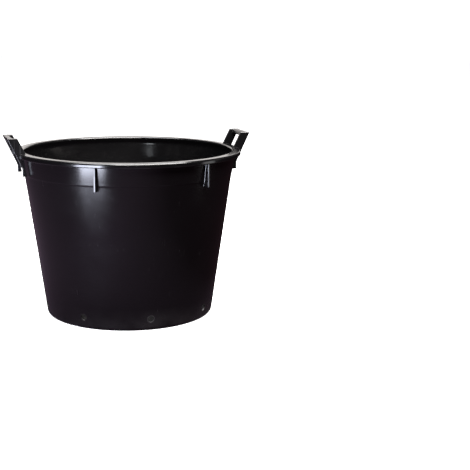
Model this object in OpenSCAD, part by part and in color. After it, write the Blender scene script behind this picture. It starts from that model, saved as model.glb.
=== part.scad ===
// Handled floristry tub: one round moulded tub and two rigid loop handles that hook into its rim.
// Millimetres, +Z up. The origin is on the ground at the tub's centre, and the handles lie on +X and -X.

/* [Tub] */
// Outer diameter over the rim's lip
rim_d = 500; // [460:5:560]
// Height from the ground to the flat top of the rim
tub_h = 369.5; // [340:0.5:400]
// Outer diameter of the wall just above the rounded foot
base_d = 374.5; // [340:0.5:390]
// Outer diameter of the wall where it meets the rim's flange
neck_d = 474.5; // [440:0.5:478]
// Thickness of the wall
wall_t = 3.2; // [2.5:0.1:4]
// Radius of the rounded outer corner of the foot
foot_round = 11; // [8:0.5:14]
// Width of the flat ring that the tub stands on
foot_ring_w = 7; // [5:0.5:10]
// Height of the inner floor surface above the ground
floor_z = 15; // [12:0.5:18]
// Thickness of the floor
floor_t = 4; // [3:0.5:5]

/* [Rim] */
// Thickness of the flat flange at the top
flange_t = 4; // [3:0.5:5]
// Thickness of the turned-down outer lip
lip_t = 4; // [3:0.5:5]
// Height of the turned-down lip, from the top of the rim
lip_h = 10.5; // [8:0.5:16]
// How far the rim's rounded inner edge stands in from the wall
bead_in = 4; // [3:0.5:5]
// Height over which the inner edge fades into the wall, from the top of the rim
bead_h = 14; // [11:1:18]
// Height of the thickened collar band below the rim, from the top of the rim
collar_h = 50; // [40:1:60]
// How far the collar's lower edge stands proud of the wall
collar_step = 0.9; // [0.5:0.1:1.5]

/* [Gussets] */
// Number of positions that share the rim, the two handles included
rim_positions = 6; // [6]
// Thickness of one gusset plate
gusset_t = 5.4; // [4:0.2:7]
// Depth of the gussets' lower edge below the top of the rim
gusset_h = 61; // [52:1:66]
// Radius of the gussets' outer edge
gusset_r = 244; // [242:0.5:245]

/* [Drain holes] */
// Diameter of every drain hole
drain_d = 14.5; // [12:0.5:18]
// Number of drain holes round the wall
wall_drains = 8; // [4:4:12]
// Height of the wall drains above the inner floor
wall_drain_up = 12; // [10:0.5:16]
// Number of drain holes in the floor
floor_drains = 4; // [4:1:6]
// Radius of the circle of floor drains
floor_drain_r = 115; // [90:5:140]

/* [Handles] */
// Clear width between the two arms of a handle
grip_span = 70; // [60:1:90]
// Thickness of an arm
arm_t = 5.5; // [4.5:0.5:7]
// Height of a handle's top above the rim
handle_up = 34; // [28:1:44]
// Radius of the arms' outer top corner
handle_r = 272; // [266:1:280]
// Length of the arms' level top edge
arm_top_w = 21.5; // [17:0.5:26]
// Angle that the arms' outer edge leans outwards, from the vertical
arm_lean = 25; // [20:0.5:30]
// Radius of the upright outer edge of the legs below the rim
leg_r = 241; // [240:0.5:245]
// Depth of the legs' lower end below the top of the rim
leg_h = 49; // [42:1:50]
// Width of the grip bar, from its inner to its outer side
grip_w = 13; // [10:1:16]
// Height of the grip bar
grip_h = 10; // [8:1:14]

/* [Hidden] */
$fn = 96;

rim_r = rim_d / 2;
base_r = base_d / 2;
neck_r = neck_d / 2;
wall_slope = (neck_r - base_r) / (tub_h - foot_round);
fit_gap = 0.25;        // clearance round a handle leg in its slot
rim_round = 4;         // rounding of the rim's outer and inner top edges
edge_round = 2;        // rounding of the lip's lower edge
floor_fillet = 7;      // inner fillet between floor and wall
gate_d = 16;           // raised gate disc at the middle of the floor
gate_h = 0.8;
tooth_out = 1.4;       // how far a snap tooth stands off its leg
tooth_h = 6;           // height of a snap tooth
seat_in = 4.4;         // how far an arm rests on the flange inside its slot
big = 60;

wall_lean = atan(wall_slope);
bead_r = wall_r(tub_h) - wall_t - bead_in;
fillet_z = floor_z + floor_fillet;
fillet_r = wall_r(fillet_z) - wall_t - floor_fillet / cos(wall_lean);
collar_z = tub_h - collar_h;
arm_mid = (grip_span + arm_t) / 2;
slot_in_r = wall_r(tub_h) + 0.4;
handle_z = tub_h + handle_up;
arm_in_r = handle_r - arm_top_w;

// Outer radius of the plain conical wall at height z
function wall_r(z) = base_r + wall_slope * (z - foot_round);
// Radius on the arms' leaning outer edge at height z
function lean_r(z) = handle_r - (handle_z - z) * tan(arm_lean);
// Height at which the leaning outer edge reaches radius r
function lean_z(r) = handle_z - (handle_r - r) / tan(arm_lean);

// Section of the tub from its axis outwards, in radius and height
module tub_section() {
    // wall with its thin collar band
    polygon([
        [wall_r(foot_round), foot_round],
        [wall_r(collar_z), collar_z],
        [wall_r(collar_z) + collar_step, collar_z],
        [neck_r, tub_h - flange_t / 2],
        [wall_r(tub_h) - wall_t, tub_h - flange_t / 2],
        [wall_r(foot_round) - wall_t, foot_round],
    ]);
    // floor with the fillet that joins it to the wall
    translate([0, floor_z - floor_t])
        square([base_r - wall_t / 2, floor_t]);
    difference() {
        polygon([
            [fillet_r, floor_z - floor_t / 2],
            [wall_r(floor_z) - wall_t / 2, floor_z - floor_t / 2],
            [wall_r(fillet_z) - wall_t / 2, fillet_z - floor_fillet * sin(wall_lean)],
            [fillet_r, fillet_z - floor_fillet * sin(wall_lean)],
        ]);
        translate([fillet_r, fillet_z])
            circle(r = floor_fillet);
    }
    // foot ring under the floor's edge, rounded outside
    intersection() {
        translate([base_r - foot_round, foot_round])
            circle(r = foot_round);
        translate([base_r - foot_round, 0])
            square(foot_round);
    }
    translate([base_r - foot_round - foot_ring_w, 0])
        square([foot_ring_w, floor_z - floor_t / 2]);
    translate([base_r - foot_round - foot_ring_w, foot_round - 0.5])
        square([foot_round + foot_ring_w - wall_t / 2, floor_z - foot_round]);
    // flat flange between its rounded inner edge and its rounded outer corner
    translate([bead_r + rim_round, tub_h - rim_round])
        circle(r = rim_round);
    polygon([
        [bead_r, tub_h - rim_round],
        [bead_r + rim_round, tub_h - flange_t / 2],
        [neck_r - wall_t / 2, tub_h - flange_t / 2],
        [wall_r(tub_h - bead_h) - wall_t / 2, tub_h - bead_h],
        [wall_r(tub_h - bead_h) - wall_t, tub_h - bead_h],
    ]);
    translate([bead_r + rim_round, tub_h - flange_t])
        square([rim_r - bead_r - 2 * rim_round, flange_t]);
    translate([rim_r - rim_round, tub_h - rim_round])
        intersection() {
            circle(r = rim_round);
            square(rim_round);
        }
    // turned-down lip, rounded below
    translate([rim_r - lip_t, tub_h - lip_h + edge_round])
        square([lip_t, lip_h - rim_round - edge_round]);
    translate([rim_r - lip_t / 2, tub_h - lip_h + edge_round])
        circle(r = edge_round);
}

// One radial gusset plate between the wall and the flange, centred on +X
module gusset() {
    rotate([90, 0, 0])
        linear_extrude(gusset_t, center = true)
            polygon([
                [wall_r(tub_h - gusset_h) - wall_t / 2, tub_h - gusset_h],
                [gusset_r, tub_h - gusset_h],
                [gusset_r, tub_h - flange_t / 2],
                [wall_r(tub_h) - wall_t / 2, tub_h - flange_t / 2],
            ]);
}

// Slots in the flange and lip for the two legs of the handle on +X
module leg_slots() {
    for (side = [-1, 1])
        translate([slot_in_r, side * arm_mid - arm_t / 2 - fit_gap, tub_h - lip_h - 1])
            cube([big, arm_t + 2 * fit_gap, lip_h + 2]);
}

// Drain bores: a ring through the wall and a ring through the floor
module drains() {
    for (i = [0 : wall_drains - 1])
        rotate([0, 0, i * 360 / wall_drains])
            translate([base_r - big / 2, 0, floor_z + wall_drain_up])
                rotate([0, 90, 0])
                    cylinder(d = drain_d, h = big);
    for (i = [0 : floor_drains - 1])
        rotate([0, 0, (i + 0.25) * 360 / floor_drains])
            translate([floor_drain_r, 0, -1])
                cylinder(d = drain_d, h = floor_z + 2);
}

// The tub: wall, floor, foot, rim and gussets in one moulding
module tub_shell() {
    color("#17171a")
        difference() {
            union() {
                rotate_extrude($fn = 180)
                    tub_section();
                for (i = [1 : rim_positions - 1])
                    if (i * 2 != rim_positions)
                        rotate([0, 0, i * 360 / rim_positions])
                            gusset();
                translate([0, 0, floor_z - floor_t / 2])
                    cylinder(d = gate_d, h = floor_t / 2 + gate_h);
            }
            leg_slots();
            mirror([1, 0, 0])
                leg_slots();
            drains();
        }
}

// Outline of one arm with its leg, in radius and height
module arm_outline() {
    polygon([
        [arm_in_r, handle_z],
        [handle_r, handle_z],
        [leg_r, lean_z(leg_r)],
        [leg_r, tub_h - leg_h],
        [wall_r(tub_h - leg_h) + collar_step + fit_gap, tub_h - leg_h],
        [slot_in_r + fit_gap, tub_h - lip_h],
        [slot_in_r + fit_gap, tub_h],
        [slot_in_r - seat_in, tub_h],
    ]);
}

// Section of the grip bar, in radius and height: it leans with the arms' outer edge
module grip_section() {
    polygon([
        [handle_r - grip_w, handle_z],
        [handle_r, handle_z],
        [lean_r(handle_z - grip_h), handle_z - grip_h],
        [lean_r(handle_z - grip_h) - grip_w, handle_z - grip_h],
    ]);
}

// Wedge tooth that snaps under the flange, on the outward face of a leg at side +Y
module snap_tooth() {
    translate([slot_in_r + fit_gap + 1, arm_mid + arm_t / 2, tub_h - flange_t - fit_gap])
        rotate([90, 0, 90])
            linear_extrude(rim_r - lip_t - slot_in_r - fit_gap - 2)
                polygon([[-1, 0], [tooth_out, 0], [0, -tooth_h], [-1, -tooth_h]]);
}

// One loop handle on +X: two arms with legs, snap teeth and the grip bar between the arms
module loop_handle() {
    for (side = [-1, 1])
        translate([0, side * arm_mid, 0])
            rotate([90, 0, 0])
                linear_extrude(arm_t, center = true)
                    arm_outline();
    rotate([90, 0, 0])
        linear_extrude(2 * arm_mid, center = true)
            grip_section();
    snap_tooth();
    mirror([0, 1, 0])
        snap_tooth();
}

module handle_right() {
    color("#1d1d21")
        loop_handle();
}

module handle_left() {
    color("#1d1d21")
        mirror([1, 0, 0])
            loop_handle();
}

tub_shell();
handle_left();
handle_right();
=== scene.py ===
# %% [markdown]
# # A handled floristry tub
# This lesson builds the visible surfaces of a large black moulded tub with two loop handles.
# The tub is one injection moulding: a tapered wall, a floor, a rim that turns down outside, four
# small gusset plates under the rim, and drain holes. Each handle is a second, smaller moulding.
# The working model is loaded first as a fixed frame, and every surface below is built around it.

# %% Load the frame
import math

import bmesh
import bpy
import numpy as np
from mathutils import Matrix, Vector


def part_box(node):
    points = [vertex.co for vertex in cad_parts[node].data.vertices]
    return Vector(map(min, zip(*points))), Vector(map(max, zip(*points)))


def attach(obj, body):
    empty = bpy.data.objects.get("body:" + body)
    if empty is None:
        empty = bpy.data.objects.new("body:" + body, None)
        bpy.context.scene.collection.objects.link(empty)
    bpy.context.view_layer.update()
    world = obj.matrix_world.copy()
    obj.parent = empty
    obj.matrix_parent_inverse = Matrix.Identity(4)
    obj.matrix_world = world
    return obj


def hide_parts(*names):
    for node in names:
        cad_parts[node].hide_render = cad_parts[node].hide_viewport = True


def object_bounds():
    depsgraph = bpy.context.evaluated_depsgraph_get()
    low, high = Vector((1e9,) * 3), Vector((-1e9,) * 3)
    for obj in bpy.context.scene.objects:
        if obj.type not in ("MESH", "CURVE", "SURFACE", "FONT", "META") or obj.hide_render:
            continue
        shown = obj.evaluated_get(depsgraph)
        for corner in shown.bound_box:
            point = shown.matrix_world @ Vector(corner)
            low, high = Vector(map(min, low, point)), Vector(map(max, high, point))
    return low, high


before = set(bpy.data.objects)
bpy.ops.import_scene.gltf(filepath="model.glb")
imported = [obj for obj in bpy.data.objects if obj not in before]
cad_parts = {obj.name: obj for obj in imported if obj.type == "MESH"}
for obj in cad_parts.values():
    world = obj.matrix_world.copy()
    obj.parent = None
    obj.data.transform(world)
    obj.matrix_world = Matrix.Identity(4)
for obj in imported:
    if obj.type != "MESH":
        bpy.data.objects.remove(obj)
cad_low, cad_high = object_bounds()
MM = 0.001
print("frame nodes:", sorted(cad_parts))
print("frame box in mm:", [round(v / MM, 1) for v in (*cad_low, *cad_high)])

# %% [markdown]
# ## The camera
# A product picture of a wide tub is taken from a little above, with a long lens so that the rim stays
# a calm ellipse. The handles lie on the X axis of the model, and the camera stands a little to the left
# of its Y axis. The camera is placed with a matrix built from three directions: where it looks, what is
# right, and what is up. That keeps the small roll of a hand-held camera without any guesswork.

# %% Camera
CAMERA_DISTANCE = 2.4135     # from the tub's axis, level
CAMERA_HEIGHT = 0.6724
CAMERA_SWING = math.radians(13.4)     # how far round to the left it stands
CAMERA_PAN = math.radians(5.687)     # looks this far to the right of the tub's axis
CAMERA_TILT = math.radians(11.703)    # looks down
CAMERA_ROLL = math.radians(0.584)
CAMERA_LENS = 82.91                   # millimetres, on a 36 mm sensor


def camera_matrix():
    """The looking direction comes from heading and tilt. Right is level and square to it, up is their
    cross product, and the roll turns right and up about the looking direction."""
    heading = CAMERA_SWING + CAMERA_PAN
    look = Vector((math.sin(heading) * math.cos(CAMERA_TILT),
                   math.cos(heading) * math.cos(CAMERA_TILT),
                   -math.sin(CAMERA_TILT)))
    right = Vector((math.cos(heading), -math.sin(heading), 0))
    up = right.cross(look)
    rolled_right = math.cos(CAMERA_ROLL) * right + math.sin(CAMERA_ROLL) * up
    rolled_up = math.cos(CAMERA_ROLL) * up - math.sin(CAMERA_ROLL) * right
    turn = Matrix((rolled_right, rolled_up, -look)).transposed().to_4x4()
    place = Vector((-CAMERA_DISTANCE * math.sin(CAMERA_SWING),
                    -CAMERA_DISTANCE * math.cos(CAMERA_SWING),
                    CAMERA_HEIGHT))
    return Matrix.Translation(place) @ turn


camera = bpy.data.objects.new("camera", bpy.data.cameras.new("camera"))
camera.data.lens = CAMERA_LENS
camera.data.sensor_width = 36
camera.matrix_world = camera_matrix()
bpy.context.scene.collection.objects.link(camera)
bpy.context.scene.camera = camera
print("camera at", [round(v, 3) for v in camera.location])

# %% [markdown]
# ## Sizes
# The tub's sizes are the moulding's own: radii and heights of its section in millimetres. The outer
# size comes from the frame, and the rest is worked out from a few thicknesses. The wall leans outwards,
# so its radius is a straight-line function of height.

# %% Sizes
tub_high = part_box("tub_shell")[1]
RIM_R = tub_high.y / MM               # radius over the lip
TUB_H = tub_high.z / MM               # height of the rim
BASE_R = 187.25                       # wall radius just above the foot
NECK_R = 237.25                       # wall radius under the flange
WALL = 3.2                            # wall thickness
FOOT = 11.0                           # rounding of the foot
FOOT_RING = 7.0                       # width of the ring it stands on
FLOOR_Z = 15.0                        # top of the floor
FLOOR_T = 4.0                         # thickness of the floor
FILLET = 7.0                          # between floor and wall
FLANGE = 4.0                          # thickness of the flange
LIP = 4.0                             # thickness of the turned-down lip
LIP_H = 10.5                          # height of the lip
EDGE = 2.0                            # rounding of the lip's lower end
RIM_ROUND = 4.0                       # rounding of the rim's top edges, outer and inner
BEAD_IN = 4.0                         # how far the inner edge stands in from the wall
BEAD_H = 14.0                         # height over which it fades into the wall
COLLAR_H = 50.0                       # depth of the collar band
COLLAR_STEP = 0.9                     # how far its lower edge stands proud
SLOPE = (NECK_R - BASE_R) / (TUB_H - FOOT)
LEAN = math.atan(SLOPE)
print("wall leans", round(math.degrees(LEAN), 2), "degrees; rim radius", round(RIM_R, 1), "mm")


def wall_r(z):
    """Outer radius of the plain wall at height z: the base radius plus the slope times the height."""
    return BASE_R + SLOPE * (z - FOOT)


# centre of the fillet circle that touches both the floor and the leaning wall
FILLET_Z = FLOOR_Z + FILLET
FILLET_R = wall_r(FILLET_Z) - WALL - FILLET / math.cos(LEAN)


def inner_r(z):
    """Inner radius at height z: the wall's inside, or the fillet's circle below its touching point."""
    z = np.asarray(z, float)
    below = z < FILLET_Z - FILLET * math.sin(LEAN)
    drop = np.clip(FILLET_Z - z, 0, FILLET)
    return np.where(below, FILLET_R + np.sqrt(FILLET ** 2 - drop ** 2), wall_r(z) - WALL)


# %% [markdown]
# ## The section as one line
# A moulded tub is a solid of revolution, so its whole skin is one line carried round an axis: from the
# middle of the floor, out and up the inside, over the rim, down the outside and back under the floor to
# the middle. The line is put together from straight stretches and arcs. Each stretch has a name, because
# the drain holes and the slots for the handles need to know which rows of the grid they cut.

# %% Stretches of the section
def arc(centre, radius, start, stop, count):
    """Centre plus radius times the cosine and sine of an angle that runs evenly from start to stop."""
    a = np.radians(np.linspace(start, stop, count))
    return np.column_stack([centre[0] + radius * np.cos(a), centre[1] + radius * np.sin(a)])


def line(p, q, count):
    """Points spaced evenly from p to q, both ends included."""
    t = np.linspace(0, 1, count)[:, None]
    return (1 - t) * np.asarray(p, float) + t * np.asarray(q, float)


DRAIN_R = 7.25                        # radius of every drain hole
DRAIN_CELL = 7.4                      # half size of the patch of grid that a hole replaces
DRAIN_STEPS = 5                       # grid steps across that half size
DRAIN_REACH = 8                       # steps from a hole's middle to where the grid is undisturbed
WALL_DRAIN_Z = 27.0
FLOOR_DRAIN_R = 115.0
GATE_R = 8.0                          # raised disc where the plastic was fed in
SLOT_R = NECK_R + 0.4                 # inner end of the handle slots
FLOOR_MIDDLE = (14, 98)               # radii between which the middle of the floor is plain
FLOOR_EDGE_R = 131                    # radius where the plain edge of the floor starts
PLAIN_WALL = (44, 351)                # heights between which the inside is plain
drain_offsets = np.arange(-DRAIN_REACH, DRAIN_REACH + 1) * DRAIN_CELL / DRAIN_STEPS


def tub_stretches():
    """The section's stretches in order, each as a name and its points in radius and height. The small
    offsets at their ends keep the rows of neighbouring stretches a little apart."""
    wall_low, wall_high = PLAIN_WALL
    collar_z = TUB_H - COLLAR_H
    collar_low_r = wall_r(collar_z) + COLLAR_STEP
    bead_r = wall_r(TUB_H) - WALL - BEAD_IN
    bead_low = TUB_H - BEAD_H
    under = TUB_H - FLANGE
    lip_low = TUB_H - LIP_H + EDGE
    ring_r = BASE_R - FOOT
    floor_rows = FLOOR_DRAIN_R + drain_offsets
    low_rows = WALL_DRAIN_Z + drain_offsets
    floor_under = FLOOR_Z - FLOOR_T
    column = np.column_stack
    return [
        ("gate", [[0, FLOOR_Z + 0.45], [1.6, FLOOR_Z + 0.5], [2.4, FLOOR_Z + 0.95], [6.6, FLOOR_Z + 0.8],
                  [7.6, FLOOR_Z + 0.7], [GATE_R, FLOOR_Z + 0.35], [GATE_R + 0.4, FLOOR_Z]]),
        ("floor_middle", line((FLOOR_MIDDLE[0], FLOOR_Z), (FLOOR_MIDDLE[1], FLOOR_Z), 6)),
        ("floor_drains", column([floor_rows, np.full(len(floor_rows), FLOOR_Z)])),
        ("floor_edge", line((FLOOR_EDGE_R, FLOOR_Z), (FILLET_R, FLOOR_Z), 5)),
        ("fillet", arc((FILLET_R, FILLET_Z), FILLET, -76, -66, 2)),
        ("inside_drains", column([inner_r(low_rows), low_rows])),
        ("inside", line((inner_r(wall_low), wall_low), (inner_r(wall_high), wall_high), 18)),
        ("inside_rim", [[inner_r(bead_low), bead_low], [inner_r(bead_low + 2) - 0.6, bead_low + 2],
                        [bead_r + 0.45, TUB_H - RIM_ROUND - 1.6]]),
        ("rim_inner_edge", arc((bead_r + RIM_ROUND, TUB_H - RIM_ROUND), RIM_ROUND, 180, 90, 8)),
        ("slot_top", line((SLOT_R, TUB_H), (RIM_R - RIM_ROUND - 0.6, TUB_H), 5)),
        ("rim_outer_edge", arc((RIM_R - RIM_ROUND, TUB_H - RIM_ROUND), RIM_ROUND, 90, 0, 8)),
        ("lip", line((RIM_R, TUB_H - RIM_ROUND - 1), (RIM_R, lip_low + 0.6), 2)),
        ("lip_end", arc((RIM_R - EDGE, lip_low), EDGE, 0, -90, 4)),
        ("lip_end_back", arc((RIM_R - EDGE, lip_low), EDGE, -90, -180, 4)),
        ("lip_back", line((RIM_R - LIP, lip_low + 0.8), (RIM_R - LIP, under - 1.5), 2)),
        ("lip_corner", arc((RIM_R - LIP - 1, under - 1), 1, 0, 90, 8)),
        ("slot_under", line((RIM_R - LIP - 1.8, under), (SLOT_R, under), 5)),
        ("collar", np.vstack([
            line((NECK_R, under - 0.6), (collar_low_r + 0.19, collar_z + 2), 7),
            line((collar_low_r + 0.13, collar_z + 1.5), (collar_low_r, collar_z + 0.5), 2)])),
        ("collar_step", [[wall_r(collar_z) + COLLAR_STEP * 0.75, collar_z + 0.1],
                         [wall_r(collar_z) + 0.1, collar_z - 0.15], [wall_r(collar_z - 1), collar_z - 1]]),
        ("outside", line((wall_r(collar_z - 4), collar_z - 4), (wall_r(wall_low), wall_low), 17)),
        ("outside_drains", column([wall_r(low_rows[::-1]), low_rows[::-1]])),
        ("foot", arc((BASE_R - FOOT, FOOT), FOOT, 0, -90, 9)),
        ("ring", line((ring_r - 2, 0), (ring_r - FOOT_RING + 1, 0), 3)),
        ("ring_back", line((ring_r - FOOT_RING, 1), (ring_r - FOOT_RING, floor_under - 1.5), 3)),
        ("under_edge", line((ring_r - FOOT_RING - 1.5, floor_under), (FLOOR_EDGE_R + 1, floor_under), 4)),
        ("under_drains", column([floor_rows[::-1], np.full(len(floor_rows), floor_under)])),
        ("under_middle", line((FLOOR_MIDDLE[1], floor_under), (0, floor_under), 7)),
    ]


stretches = tub_stretches()
section = np.vstack([np.asarray(points, float) for _, points in stretches])
starts = np.cumsum([0] + [len(points) for _, points in stretches])
rows_of = {name: (starts[i], starts[i + 1] - 1) for i, (name, _) in enumerate(stretches)}
print("section:", len(section), "points in", len(stretches), "stretches")

# %% [markdown]
# ## Columns round the axis
# The grid's columns are closer together near each wall drain, so that a hole's edge is round, and wider
# in between. The same pattern repeats eight times, and the floor drains fall on its wide middle.

# %% Columns
WALL_DRAINS = 8
FLOOR_DRAINS = 4
COLUMNS_PER_DRAIN = 60
near_step = DRAIN_CELL / DRAIN_STEPS / wall_r(WALL_DRAIN_Z)
sector = 2 * math.pi / WALL_DRAINS
index = np.arange(COLUMNS_PER_DRAIN // 2 + 1)
near_half = DRAIN_REACH * near_step
wide_step = (sector / 2 - near_half) / (COLUMNS_PER_DRAIN // 2 - DRAIN_REACH)
half = np.where(index <= DRAIN_REACH, index * near_step, near_half + (index - DRAIN_REACH) * wide_step)
one_sector = np.concatenate([half, sector - half[-2:0:-1]])
columns = np.concatenate([one_sector + k * sector for k in range(WALL_DRAINS)])
COLUMNS = len(columns)
print("columns:", COLUMNS, "from", round(math.degrees(near_step), 2), "to",
      round(math.degrees(wide_step), 2), "degrees apart")

# %% [markdown]
# ## Round holes in a square grid
# A boolean cut would leave long thin triangles round each hole, and they show as creases in a glossy
# surface. Here the grid itself makes room: a square patch of cells is taken out, and the points on and
# around its border slide from the square to a circle. With c the larger of a point's two distances from
# the hole's middle, counted in patch halves, the border (c = 1) lies on the hole's circle and the points
# drift back to their own places at c = 1.6, which is DRAIN_REACH over DRAIN_STEPS.

# %% Hole warp
def open_round(across, along, across_unit, along_unit):
    """Moves points round a hole. Both offsets are in mm from its middle. The share t grows smoothly from
    0 on the patch's border to 1 at its reach, and the point is (1 - t) times the circle of radius
    (hole radius times c) plus t times its own place."""
    n, m = across / across_unit, along / along_unit
    c = np.maximum(np.abs(n), np.abs(m))
    length = np.maximum(np.hypot(n, m), 1e-9)
    t = np.clip((c - 1) / (DRAIN_REACH / DRAIN_STEPS - 1), 0, 1)
    t = t * t * (3 - 2 * t)
    new_across = (1 - t) * DRAIN_R * c * n / length + t * across
    new_along = (1 - t) * DRAIN_R * c * m / length + t * along
    return new_across, new_along


radius = np.repeat(section[:, :1], COLUMNS, axis=1)
height = np.repeat(section[:, 1:], COLUMNS, axis=1)
angle = np.repeat(columns[None, :], len(section), axis=0)
cut = np.zeros((len(section) - 1, COLUMNS), bool)     # cells that are left out


def patch(name, centre_column, reach):
    """Index arrays of the grid points within reach steps of the middle of a stretch and of a column."""
    middle = (rows_of[name][0] + rows_of[name][1]) // 2
    i = np.arange(middle - reach, middle + reach + 1)
    j = np.arange(centre_column - reach, centre_column + reach + 1)
    return np.meshgrid(i, j % COLUMNS, indexing="ij")


def signed_turn(difference):
    """The same turn between minus and plus half a circle."""
    return (difference + math.pi) % (2 * math.pi) - math.pi


def open_hole(name, centre_column, on_wall):
    """Opens one hole in a stretch: on the wall the hole's second direction is height, on the floor radius."""
    i, j = patch(name, centre_column, DRAIN_REACH)
    centre_angle = columns[centre_column % COLUMNS]
    across = radius[i, j] * signed_turn(angle[i, j] - centre_angle)
    edge_turn = abs(signed_turn(columns[(centre_column + DRAIN_STEPS) % COLUMNS] - centre_angle))
    across_unit = radius[i, j] * edge_turn
    along = height[i, j] - WALL_DRAIN_Z if on_wall else radius[i, j] - FLOOR_DRAIN_R
    across, along = open_round(across, along, across_unit, DRAIN_CELL)
    if on_wall:
        height[i, j] = WALL_DRAIN_Z + along
        radius[i, j] = inner_r(height[i, j]) if name.startswith("inside") else wall_r(height[i, j])
    else:
        radius[i, j] = FLOOR_DRAIN_R + along
    angle[i, j] = centre_angle + across / radius[i, j]
    ci, cj = patch(name, centre_column, DRAIN_STEPS)
    cut[ci[:-1, :-1], cj[:-1, :-1]] = True


def border(name, centre_column, flip):
    """The ring of grid points round a patch, as row and column pairs, starting at one corner. flip walks
    the rows the other way, so that two rings on opposite skins match point for point."""
    s = DRAIN_STEPS
    side = np.arange(-s, s)
    m = np.concatenate([np.full(2 * s, -s), side, np.full(2 * s, s), -side])
    n = np.concatenate([side, np.full(2 * s, s), -side, np.full(2 * s, -s)])
    middle = (rows_of[name][0] + rows_of[name][1]) // 2
    return (middle + (-m if flip else m)) * COLUMNS + (centre_column + n) % COLUMNS


rings = []
for k in range(WALL_DRAINS):
    column = k * COLUMNS_PER_DRAIN
    open_hole("inside_drains", column, True)
    open_hole("outside_drains", column, True)
    rings.append((border("inside_drains", column, False), border("outside_drains", column, True)))
for k in range(FLOOR_DRAINS):
    column = COLUMNS_PER_DRAIN // 2 + k * COLUMNS // FLOOR_DRAINS
    open_hole("floor_drains", column, False)
    open_hole("under_drains", column, False)
    rings.append((border("floor_drains", column, False), border("under_drains", column, True)))
print("holes:", len(rings), "each with", len(rings[0][0]), "points on its edge")

# %% [markdown]
# ## Slots for the handle legs
# Each handle leg drops through an open slot in the flange and the lip. The slot's sides are flat and
# parallel to the handle's arms, so its two border columns bend a little: at radius r a side that lies y
# from the middle stands at the angle whose sine is y / r. The bend fades out over the next columns and
# over the rows below and inside the rim.

# %% Slot warp
ARM_MID = 37.75                       # from a handle's middle to the middle of an arm
ARM_T = 5.5                           # thickness of an arm
FIT_GAP = 0.25                        # clearance round a leg
SLOT_EDGE_COLUMNS = (13, 15)          # grid columns that become the slot's two sides
SLOT_FADE = 3                         # columns over which the bend fades
FADE_ROWS = 7                         # rows over which it fades below and inside the rim
slot_first = rows_of["slot_top"][0]
slot_last = rows_of["slot_under"][1]
row_index = np.arange(len(section))
row_share = np.clip(1 - np.maximum(slot_first - row_index, row_index - slot_last) / FADE_ROWS, 0, 1)
row_share = row_share * row_share * (3 - 2 * row_share)
slot_low = ARM_MID - ARM_T / 2 - FIT_GAP
slot_high = ARM_MID + ARM_T / 2 + FIT_GAP


def bend_to_slots(turn, r, share):
    """Bends the columns between two undisturbed ones so that the slot's border columns stand at the
    arcsine of their side's distance over the radius."""
    a, b = SLOT_EDGE_COLUMNS
    known = np.array([one_sector[a - SLOT_FADE], one_sector[a], one_sector[b], one_sector[b + SLOT_FADE]])
    wanted = np.array([known[0], math.asin(slot_low / r), math.asin(slot_high / r), known[3]])
    size = np.abs(turn)
    return np.where((size > known[0]) & (size < known[3]),
                    turn + share * np.sign(turn) * (np.interp(size, known, wanted) - size), turn)


for i in np.flatnonzero(row_share):
    for side in (0.0, math.pi):
        turn = signed_turn(angle[i] - side)
        bent = side + bend_to_slots(turn, section[i, 0], row_share[i])
        angle[i] = np.where(np.abs(turn) < sector / 2, bent, angle[i])

slot_columns = []
for side in (0, COLUMNS // 2):
    a, b = SLOT_EDGE_COLUMNS
    slot_columns += [((side + a) % COLUMNS, (side + b) % COLUMNS),
                     ((side - b) % COLUMNS, (side - a) % COLUMNS)]
for a, b in slot_columns:
    cut[slot_first:slot_last, a:b] = True
print("slots:", len(slot_columns), "over rows", slot_first, "to", slot_last)

# %% [markdown]
# ## From grid to mesh
# The points are worked out as whole arrays. The wall also gets a very small wave, because a thin wall
# this size never comes out of its mould perfectly round, and it is this wave that makes the reflections
# in a glossy tub wander. The faces are the grid's cells less the ones cut out, the bands that line each
# hole and slot, and a fan at each of the two poles.

# %% Faces of the tub
WAVE = 0.35                           # mm that the wall may be out of round
WAVE_LOBES = ((0.6, 3, 0.9), (0.4, 5, 2.1))     # share, waves round the tub, starting angle
TWIST_SHARE, TWIST_LOBES, TWIST_RISE = 0.35, 2, 90     # a wave that turns one radian in this many mm
WAVE_LOW, WAVE_SPAN = 45, TUB_H - 95  # the waves start at this height and end this much above it
wave_share = np.clip((height - WAVE_LOW) / WAVE_SPAN, 0, 1)
wave_share = np.sin(math.pi * wave_share) * (radius > BASE_R - FOOT)
lobes = sum(share * np.sin(count * angle + start) for share, count, start in WAVE_LOBES)
twist = TWIST_SHARE * np.sin(TWIST_LOBES * angle + height / TWIST_RISE)
radius = radius + WAVE * (lobes + twist) * wave_share
points = np.stack([radius * np.cos(angle), radius * np.sin(angle), height], axis=-1).reshape(-1, 3) * MM


def grid_faces(keep):
    """One four-sided face for each kept cell: a point, the next row, that row's next column, and back."""
    i, j = np.nonzero(keep)
    k = (j + 1) % COLUMNS
    this, below = i * COLUMNS, (i + 1) * COLUMNS
    return np.column_stack([this + j, below + j, below + k, this + k])


def band(first, second, closed=True):
    """A band of four-sided faces between two lines of points that match one for one."""
    a, b = np.asarray(first), np.asarray(second)
    quads = np.column_stack([a, np.roll(a, -1), np.roll(b, -1), b])
    return quads if closed else quads[:-1]


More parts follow.
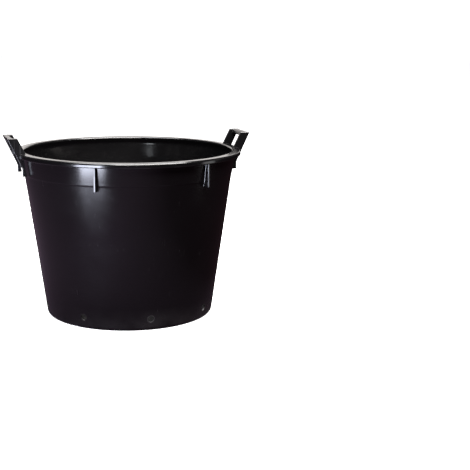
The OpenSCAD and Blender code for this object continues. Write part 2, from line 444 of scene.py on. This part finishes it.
keep = ~cut
keep[0] = keep[-1] = False                      # the poles' cells are fans
faces = [grid_faces(keep)]
faces += [band(first, second) for first, second in rings]
for a, b in slot_columns:
    out = np.arange(slot_first, (slot_first + slot_last) // 2 + 1)
    back = slot_last - (out - slot_first)
    for c in (a, b):
        faces.append(band(out * COLUMNS + c, back * COLUMNS + c, closed=False))
    across = np.arange(a, b + 1)
    faces.append(band(slot_first * COLUMNS + across, slot_last * COLUMNS + across, closed=False))
last = len(section) - 1
fans = []
around = np.arange(COLUMNS)
for pole, ring in ((0, 1), (last, last - 1)):
    ring_points = ring * COLUMNS + around
    fans.append(np.column_stack([np.full(COLUMNS, pole * COLUMNS), ring_points,
                                 ring * COLUMNS + (around + 1) % COLUMNS]))
print("tub cells:", sum(len(f) for f in faces), "and", sum(len(f) for f in fans), "in fans")


# %% [markdown]
# ## Mesh helper
# Every piece ends the same way: points and faces go into a mesh, points that fell together are merged,
# loose points are dropped, and the faces are turned outwards. Edges sharper than a given angle stay
# crisp, and the rest is shaded smooth.

# %% Mesh helper
def make_piece(name, coordinates, face_lists, crisp=38, merge=2e-6):
    """Points in metres and lists of faces become one closed, outward-facing object at the origin."""
    mesh = bpy.data.meshes.new(name)
    mesh.from_pydata(coordinates.tolist(), [], [face for group in face_lists for face in group.tolist()])
    work = bmesh.new()
    work.from_mesh(mesh)
    bmesh.ops.remove_doubles(work, verts=work.verts, dist=merge)
    bmesh.ops.delete(work, geom=[v for v in work.verts if not v.link_faces], context="VERTS")
    bmesh.ops.dissolve_degenerate(work, edges=work.edges, dist=merge / 2)
    bmesh.ops.recalc_face_normals(work, faces=work.faces)
    open_edges = sum(1 for e in work.edges if len(e.link_faces) != 2)
    work.to_mesh(mesh)
    work.free()
    mesh.shade_smooth()
    mesh.set_sharp_from_angle(angle=math.radians(crisp))
    piece = bpy.data.objects.new(name, mesh)
    bpy.context.scene.collection.objects.link(piece)
    print(f"{name}: {len(mesh.vertices)} points, {len(mesh.polygons)} faces, {open_edges} open edges")
    return piece


tub = make_piece("tub_moulding", points, faces + fans)

# %% [markdown]
# ## Gussets
# Four small plates stiffen the rim between the handles. They carry the marks of moulding: a plate is a
# little thinner at its free edge so that it leaves the mould, and it runs into the wall with a small
# fillet. The surface is a function of height and of a loop round the plate's level section.

# %% Gussets
GUSSET_T = 5.4                        # thickness of a plate
GUSSET_H = 61.0                       # depth of its lower end below the top of the rim
GUSSET_OUT = 244.0                    # radius of its outer edge
GUSSET_DRAFT = 0.35                   # half of what the plate loses in thickness
GUSSET_FILLET = 1.8                   # where it runs into the wall
GUSSET_CORNER = 1.3                   # rounding of its free edges
GUSSET_ROWS = 14                      # level sections above the rounded lower end
GUSSET_ANGLES = (60, 120, 240, 300)


def stack_faces(loops, first):
    """Bands between neighbouring loops and a cap at each end. first is the number of the first point."""
    rows, count = loops.shape[:2]
    loop = np.arange(count) + first
    quads = [band(loop + i * count, loop + (i + 1) * count) for i in range(rows - 1)]
    return quads + [loop[None, :], (loop + (rows - 1) * count)[None, :]]


def collar_out(z):
    """How far the collar stands proud at height z: full at its lower edge, fading to nothing at the top."""
    return np.interp(z, [TUB_H - COLLAR_H - 1, TUB_H - COLLAR_H, TUB_H - FLANGE / 2], [0, COLLAR_STEP, 0])


def gusset(turn_degrees):
    """Level sections stacked in height. On each, the half thickness runs from the wall outwards as the
    plate's own, less a straight draft, plus a quarter-circle fillet at the wall, and the outer corners
    are quarter circles. The section shrinks by a quarter circle at the lower end."""
    low, high = TUB_H - GUSSET_H, TUB_H - FLANGE / 2
    a = np.radians(np.linspace(0, 90, 6))
    z = np.concatenate([low + GUSSET_CORNER * (1 - np.cos(a)), np.linspace(low + 3, high, GUSSET_ROWS)])
    inset = np.concatenate([GUSSET_CORNER * (1 - np.sin(a)), np.zeros(GUSSET_ROWS)])
    flare_d = GUSSET_FILLET * (1 - np.cos(a[::-1]))[::-1]
    flare_h = GUSSET_FILLET * (1 - np.sin(a))
    depth_steps = np.linspace(0.15, 0.85, 5)
    loops = []
    for height_now, shrink in zip(z, inset):
        wall = wall_r(height_now) + collar_out(height_now)
        run = GUSSET_OUT - wall
        start = np.array([[wall - WALL / 2, GUSSET_T / 2 + GUSSET_FILLET - shrink]])
        flare = np.column_stack([wall + flare_d, GUSSET_T / 2 + flare_h - shrink])
        side = np.column_stack([wall + run * depth_steps,
                                GUSSET_T / 2 - GUSSET_DRAFT * depth_steps - shrink])
        tip = arc((GUSSET_OUT - GUSSET_CORNER - shrink, GUSSET_T / 2 - GUSSET_DRAFT - GUSSET_CORNER),
                  GUSSET_CORNER, 90, 0, 6)
        tip[:, 1] = np.maximum(tip[:, 1] - shrink, 0.1)
        half_loop = np.vstack([start, flare, side, tip])
        loops.append(np.vstack([half_loop, half_loop[::-1] * [1, -1]]))
    loops = np.array(loops)
    count = loops.shape[1]
    t = math.radians(turn_degrees)
    x = loops[..., 0] * math.cos(t) - loops[..., 1] * math.sin(t)
    y = loops[..., 0] * math.sin(t) + loops[..., 1] * math.cos(t)
    coordinates = np.stack([x, y, np.repeat(z[:, None], count, 1)], -1).reshape(-1, 3) * MM
    return coordinates, stack_faces(loops, 0)


gussets = []
for k, turn in enumerate(GUSSET_ANGLES):
    coordinates, gusset_faces = gusset(turn)
    gussets.append(make_piece(f"rim_gusset_{k + 1}", coordinates, gusset_faces, crisp=30))

# %% [markdown]
# ## Handles
# A loop handle has two flat arms that lean outwards, each with a leg that drops through the rim, and a
# grip bar between their outer corners. Each part is a rounded rectangle carried along a line. The three
# are then fused with a fine voxel remesh, which gives the soft inner corners that a mould leaves, where
# crossing separate bars would show hard seams.

# %% Handle parts
HANDLE_TOP = cad_high.z / MM
HANDLE_OUT = cad_high.x / MM
ARM_TOP_W = 21.5                      # length of an arm's level top edge
ARM_LEAN = math.radians(25.0)         # of its outer edge, from the vertical
ARM_END = 1.4                         # rounding of an arm's top and of a leg's lower end
ARM_CORNER = 1.0                      # rounding of its long edges
ARM_ROWS = 12                         # level sections of the leg, and as many of the arm above the rim
LEG_R = 241.0                         # outer radius of a leg
LEG_LOW = TUB_H - 49.0
SEAT_IN = 4.4                         # how far an arm rests on the flange inside its slot
GRIP_W = 13.0                         # width and height of the grip bar
GRIP_H = 10.0
GRIP_CORNER = 3.6
GRIP_STEPS = 24
TOOTH_OUT = 1.4                       # how far a snap tooth stands off its leg
TOOTH_H = 6.0


def rounded_loop(low, high, half_thick, corner, count=7):
    """A rectangle from low to high, half_thick to each side of zero, with quarter-circle corners."""
    corner = min(corner, half_thick, (high - low) / 2)
    corners = [(high - corner, half_thick - corner, 90, 0),
               (high - corner, corner - half_thick, 0, -90),
               (low + corner, corner - half_thick, -90, -180),
               (low + corner, half_thick - corner, 180, 90)]
    return np.vstack([arc((x, y), corner, start, stop, count) for x, y, start, stop in corners])


def arm_edges(z):
    """Inner and outer radius of an arm at height z: upright below the rim, leaning above it."""
    outer = max(LEG_R, HANDLE_OUT - (HANDLE_TOP - z) * math.tan(ARM_LEAN))
    lean_in = np.interp(z, [TUB_H, HANDLE_TOP], [SLOT_R - SEAT_IN, HANDLE_OUT - ARM_TOP_W])
    leg_in = np.interp(z, [LEG_LOW, TUB_H - LIP_H],
                       [wall_r(LEG_LOW) + COLLAR_STEP + FIT_GAP, SLOT_R + FIT_GAP])
    return (leg_in if z < TUB_H else lean_in), outer


def arm(y_middle):
    """Rounded rectangles stacked in height, each as wide as the arm there, shrinking at both ends by a
    quarter circle so that the ends are rounded too."""
    a = np.radians(np.linspace(0, 90, 6))
    rise, less_wide = ARM_END * (1 - np.cos(a)), ARM_END * (1 - np.sin(a))
    z = np.concatenate([LEG_LOW + rise, np.linspace(LEG_LOW + 3, TUB_H - 0.02, ARM_ROWS),
                        np.linspace(TUB_H + 0.02, HANDLE_TOP - 3, ARM_ROWS), HANDLE_TOP - rise[::-1]])
    shrink = np.concatenate([less_wide, np.zeros(2 * ARM_ROWS), less_wide[::-1]])
    loops = []
    for height_now, less in zip(z, shrink):
        inner, outer = arm_edges(height_now)
        loop = rounded_loop(inner + less, outer - less, ARM_T / 2 - less, ARM_CORNER)
        loops.append(np.column_stack([loop[:, 0], loop[:, 1] + y_middle,
                                      np.full(len(loop), height_now)]))
    return np.array(loops)


def grip_bar():
    """The bar's rounded section carried straight along Y between the two arms. The section leans with
    the arms' outer edge: each point moves in by its depth below the top times the lean's tangent."""
    loop = rounded_loop(HANDLE_OUT - GRIP_W, HANDLE_OUT, GRIP_H / 2, GRIP_CORNER)
    depth = GRIP_H / 2 - loop[:, 1]
    x = loop[:, 0] - depth * math.tan(ARM_LEAN)
    y = np.linspace(-ARM_MID, ARM_MID, GRIP_STEPS)
    return np.array([np.column_stack([x, np.full(len(loop), v), HANDLE_TOP - depth]) for v in y])


def snap_tooth(side):
    """A wedge on a leg's outward face: full depth under the flange, running out to nothing below."""
    top, face = TUB_H - FLANGE - FIT_GAP, ARM_MID + ARM_T / 2
    wedge = np.array([[-1, 0], [TOOTH_OUT, 0], [0, -TOOTH_H], [-1, -TOOTH_H]])
    y, z = side * (face + wedge[:, 0]), top + wedge[:, 1]
    r = np.linspace(SLOT_R + FIT_GAP + 1, RIM_R - LIP - 1, 4)
    return np.array([np.column_stack([np.full(len(wedge), v), y, z]) for v in r])


# %% Fuse the handles
HANDLE_VOXEL = 0.5 * MM
HANDLE_SMOOTH = 8                     # rounds of relaxing


def fuse(piece):
    """Remeshes the overlapping parts into one skin and relaxes it, then bakes both into the mesh."""
    remesh = piece.modifiers.new("fuse", "REMESH")
    remesh.mode = "VOXEL"
    remesh.voxel_size = HANDLE_VOXEL
    smooth = piece.modifiers.new("relax", "SMOOTH")
    smooth.factor = 0.5
    smooth.iterations = HANDLE_SMOOTH
    graph = bpy.context.evaluated_depsgraph_get()
    mesh = bpy.data.meshes.new_from_object(piece.evaluated_get(graph))
    piece.modifiers.clear()
    piece.data = mesh
    mesh.shade_smooth()
    print(f"{piece.name}: fused to {len(mesh.polygons)} faces")


def loop_handle(name, mirror):
    """Arms, grip bar and teeth in one mesh; mirror is -1 for the handle on the other side."""
    parts = [arm(ARM_MID), arm(-ARM_MID), grip_bar(), snap_tooth(1), snap_tooth(-1)]
    coordinates, all_faces, first = [], [], 0
    for loops in parts:
        all_faces += stack_faces(loops, first)
        coordinates.append(loops.reshape(-1, 3))
        first += len(coordinates[-1])
    coordinates = np.vstack(coordinates) * [mirror * MM, MM, MM]
    piece = make_piece(name, coordinates, all_faces)
    fuse(piece)
    return piece


handles = {"handle_right": loop_handle("loop_handle_right", 1),
           "handle_left": loop_handle("loop_handle_left", -1)}

# %% [markdown]
# ## Moulded black plastic
# Black polypropylene is almost black all through, so what the eye reads is its gloss. Three things break
# it up: a fine orange-peel texture from the mould, slow changes of gloss where the plastic cooled at
# different speeds, and use: hairline scuffs up and down the wall, dusty feet and paler, matt edges.

# %% Plastic material
def node(tree, kind, at=(0, 0), **settings):
    """Adds a node of a kind, and sets its named properties."""
    made = tree.nodes.new(kind)
    made.location = at
    for key, value in settings.items():
        setattr(made, key, value)
    return made


def noise(tree, vector, scale, detail=2.0, roughness=0.5):
    """A noise of a scale, in blobs per metre, read at a vector."""
    made = node(tree, "ShaderNodeTexNoise")
    made.inputs["Scale"].default_value = scale
    made.inputs["Detail"].default_value = detail
    made.inputs["Roughness"].default_value = roughness
    tree.links.new(vector, made.inputs["Vector"])
    return made.outputs["Fac"]


def remap(tree, value, from_low, from_high, to_low, to_high):
    """Maps a value from one range to another, and holds it at the ends."""
    made = node(tree, "ShaderNodeMapRange")
    ends = {"From Min": from_low, "From Max": from_high, "To Min": to_low, "To Max": to_high}
    for key, number in ends.items():
        made.inputs[key].default_value = number
    tree.links.new(value, made.inputs["Value"])
    return made.outputs["Result"]


def combine(tree, operation, first, second):
    """A math node; each input is a socket or a number."""
    made = node(tree, "ShaderNodeMath", operation=operation)
    for socket, value in zip(made.inputs, (first, second)):
        if isinstance(value, (int, float)):
            socket.default_value = value
        else:
            tree.links.new(value, socket)
    return made.outputs[0]


def mix_colours(tree, factor, first, second):
    """Mixes two colours by a factor; each is a socket or three numbers."""
    made = node(tree, "ShaderNodeMix", data_type="RGBA")
    tree.links.new(factor, made.inputs["Factor"])
    for socket, value in ((made.inputs["A"], first), (made.inputs["B"], second)):
        if isinstance(value, tuple):
            socket.default_value = (*value, 1)
        else:
            tree.links.new(value, socket)
    return made.outputs["Result"]


def stretched(tree, vector, scale):
    """A vector scaled separately along X, Y and Z, for streaks."""
    made = node(tree, "ShaderNodeMapping")
    made.inputs["Scale"].default_value = scale
    tree.links.new(vector, made.inputs["Vector"])
    return made.outputs["Vector"]


def moulded_plastic(name, colour, worn, gloss, specular, dusty):
    """Black moulded plastic: colour in the body, worn on scuffs and edges, gloss as the middle roughness."""
    material = bpy.data.materials.new(name)
    material.use_nodes = True
    tree = material.node_tree
    shader = tree.nodes["Principled BSDF"]
    place = node(tree, "ShaderNodeTexCoord").outputs["Object"]
    slow = noise(tree, place, 9, 3)
    patches = noise(tree, place, 17, 4, 0.6)
    # hairline scuffs, only inside some patches
    hair = noise(tree, stretched(tree, place, (260, 260, 5)), 1, 3, 0.7)
    scuffs = combine(tree, "MULTIPLY", remap(tree, hair, 0.63, 0.7, 0, 1),
                     remap(tree, patches, 0.5, 0.66, 0, 1))
    # paler wear on the outer edges
    edges = node(tree, "ShaderNodeNewGeometry").outputs["Pointiness"]
    wear = combine(tree, "MULTIPLY", remap(tree, edges, 0.515, 0.56, 0, 1),
                   remap(tree, patches, 0.42, 0.62, 0.2, 1))
    # dust over the lowest 5 cm
    height_now = node(tree, "ShaderNodeSeparateXYZ")
    tree.links.new(place, height_now.inputs[0])
    dust = combine(tree, "MULTIPLY", remap(tree, height_now.outputs["Z"], 0.0, 0.05, dusty, 0),
                   remap(tree, patches, 0.35, 0.65, 0.2, 1))
    marks = combine(tree, "MAXIMUM", combine(tree, "MULTIPLY", scuffs, 0.5),
                    combine(tree, "MAXIMUM", wear, dust))
    tree.links.new(mix_colours(tree, marks, colour, worn), shader.inputs["Base Color"])
    rough = combine(tree, "ADD", remap(tree, slow, 0.3, 0.7, gloss - 0.05, gloss + 0.06),
                    combine(tree, "MULTIPLY", marks, 0.25))
    tree.links.new(rough, shader.inputs["Roughness"])
    shader.inputs["Specular IOR Level"].default_value = specular
    # fine orange peel over a slower ripple
    peel = noise(tree, place, 420, 2)
    ripple = noise(tree, stretched(tree, place, (1, 1, 0.35)), 26, 2)
    bump = node(tree, "ShaderNodeBump")
    bump.inputs["Strength"].default_value = 0.5
    bump.inputs["Distance"].default_value = 0.0004
    tree.links.new(combine(tree, "ADD", combine(tree, "MULTIPLY", peel, 0.06), ripple),
                   bump.inputs["Height"])
    tree.links.new(bump.outputs["Normal"], shader.inputs["Normal"])
    print("material", name, "with", len(tree.nodes), "nodes")
    return material


tub_plastic = moulded_plastic("black_moulded_tub", colour=(0.0012, 0.0011, 0.0013),
                              worn=(0.013, 0.012, 0.013), gloss=0.17, specular=0.5, dusty=0.6)
handle_plastic = moulded_plastic("black_moulded_handle", colour=(0.0016, 0.0016, 0.0018),
                                 worn=(0.04, 0.04, 0.042), gloss=0.24, specular=0.5, dusty=0.0)
tub.data.materials.append(tub_plastic)
for piece in gussets:
    piece.data.materials.append(tub_plastic)
for piece in handles.values():
    piece.data.materials.append(handle_plastic)

# %% [markdown]
# ## Floor and light
# Black gloss shows nothing but its surroundings, so the lights are chosen by what they leave in the
# surface. A blank white setting would turn the whole tub grey, so the floor and the room are white to
# the eye and dimmed in reflections. The floor's dimmed colour is painted shade, lighter at the tub's
# left and nearly black at its right. Only the stage has this switch, and the plastic has not. Large
# softboxes behind, overhead and in front draw the bright line along the rim. A low card at the left
# makes the cool patch on the collar, one at the right lights the gusset there, and a small softbox at
# the left makes the spot inside. A tall one far to the right gives the right wall a faint edge.

# %% Stage
FLOOR_R = 14.0
FLOOR_PALE = (0.86, 0.86, 0.865)               # the paper, as the eye sees it, in two slightly mottled
FLOOR_PALER = (0.9, 0.9, 0.9)                  # shades
# painted light and shade: in reflections the paper is painted lit at the tub's left and shaded nearly black
# at its right
FLOOR_PAINTED_LIT_LEFT = (0.040, 0.029, 0.041)    # the paper in reflections: dusky at the tub's left,
FLOOR_PAINTED_SHADE_RIGHT = (0.006, 0.003, 0.004)   # and nearly black at its right
FLOOR_SHADE_X = (-0.25, 0.4)                   # from left to right, where one shade becomes the other
FLOOR_GLOW = 0.95                              # light the paper gives to the eye only
ROOM_MIRRORED = 0.05                           # strength of the room in reflections
ROOM_SEEN = 1.1                                # and to the eye


def round_floor():
    """Rings of points round the middle: radius grows with the square of the ring's number."""
    rings_count, around = 24, 96
    r = FLOOR_R * (np.arange(rings_count) / (rings_count - 1)) ** 2
    a = np.linspace(0, 2 * math.pi, around, endpoint=False)
    x, y = r[:, None] * np.cos(a), r[:, None] * np.sin(a)
    coordinates = np.stack([x, y, np.zeros_like(x)], -1).reshape(-1, 3)
    j = np.arange(around)
    quads = [band(j + i * around, j + (i + 1) * around) for i in range(1, rings_count - 1)]
    return coordinates, quads + [np.column_stack([j * 0, around + j, around + (j + 1) % around])]


def seen_by_eye(tree):
    """One for light that goes straight to the camera, and zero in reflections."""
    return node(tree, "ShaderNodeLightPath").outputs["Is Camera Ray"]


def pale_paper_with_painted_shade():
    """Pale paper to the eye, and painted shade in reflections that darkens from the tub's left to its right.
    """
    material = bpy.data.materials.new("pale_paper_with_painted_shade")
    material.use_nodes = True
    tree = material.node_tree
    shader = tree.nodes["Principled BSDF"]
    place = node(tree, "ShaderNodeTexCoord").outputs["Object"]
    separate = node(tree, "ShaderNodeSeparateXYZ")
    tree.links.new(place, separate.inputs[0])
    seen = seen_by_eye(tree)
    pale = mix_colours(tree, noise(tree, place, 6, 3), FLOOR_PALE, FLOOR_PALER)
    # painted shade in reflections: lighter at the tub's left, nearly black at its right
    painted_shade_in_reflections = mix_colours(tree, remap(tree, separate.outputs["X"], *FLOOR_SHADE_X, 0, 1),
                          FLOOR_PAINTED_LIT_LEFT, FLOOR_PAINTED_SHADE_RIGHT)
    tree.links.new(mix_colours(tree, seen, painted_shade_in_reflections, pale), shader.inputs["Base Color"])
    shader.inputs["Roughness"].default_value = 0.9
    shader.inputs["Specular IOR Level"].default_value = 0.0
    shader.inputs["Emission Color"].default_value = (1, 1, 1, 1)
    tree.links.new(remap(tree, seen, 0, 1, 0, FLOOR_GLOW), shader.inputs["Emission Strength"])
    return material


floor_points, floor_faces = round_floor()
floor = make_piece("stage_floor", floor_points, floor_faces)
if floor.data.polygons[0].normal.z < 0:
    floor.data.flip_normals()
floor.data.materials.append(pale_paper_with_painted_shade())


def softbox(name, place, target, size, power, colour=(1, 1, 1)):
    """An area light at a place, turned to face a target."""
    light = bpy.data.lights.new(name, "AREA")
    light.shape = "RECTANGLE"
    light.size, light.size_y = size
    light.energy = power
    light.color = colour
    lamp = bpy.data.objects.new(name, light)
    lamp.location = place
    lamp.rotation_euler = (Vector(target) - Vector(place)).to_track_quat("-Z", "Y").to_euler()
    lamp.visible_camera = False
    bpy.context.scene.collection.objects.link(lamp)
    print(f"{name}: {power} W, {size[0]} x {size[1]} m")


softbox("back_softbox", (0.75, 3.1, 1.3), (0, 0, 0.35), (3.4, 1.5), 21, (1.0, 0.95, 0.92))
softbox("overhead_softbox", (0.0, 0.0, 2.4), (0, 0, 0.3), (2.4, 1.4), 210)
softbox("front_softbox", (0.35, -1.7, 2.2), (0, 0, 0.35), (3.0, 0.8), 290, (1.0, 0.96, 0.93))
softbox("low_left_card", (-0.6, -0.56, 0.205), (-0.13, -0.19, 0.345), (0.34, 0.2), 7.5, (0.80, 0.84, 1.0))
softbox("left_softbox", (-1.3, -1.6, 0.48), (0, 0, 0.37), (0.3, 0.2), 3.2, (0.9, 0.95, 1.0))
softbox("low_right_card", (1.08, -0.5, 0.2), (0.12, -0.21, 0.34), (0.3, 0.3), 0.5)
softbox("right_softbox", (2.3, -0.4, 0.9), (0, 0, 0.3), (0.6, 1.0), 0.6, (1.0, 0.93, 0.86))

world = bpy.data.worlds.new("studio")
world.use_nodes = True
room = world.node_tree.nodes["Background"]
room.inputs["Color"].default_value = (1, 1, 1, 1)
room_strength = remap(world.node_tree, seen_by_eye(world.node_tree), 0, 1, ROOM_MIRRORED, ROOM_SEEN)
world.node_tree.links.new(room_strength, room.inputs["Strength"])
bpy.context.scene.world = world
bpy.context.scene.view_settings.view_transform = "Standard"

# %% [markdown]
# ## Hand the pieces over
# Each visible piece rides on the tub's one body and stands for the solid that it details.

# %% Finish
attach(tub, "root")
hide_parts("tub_shell")
for piece in gussets:
    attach(piece, "root")
for cad_node, piece in handles.items():
    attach(piece, "root")
    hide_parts(cad_node)
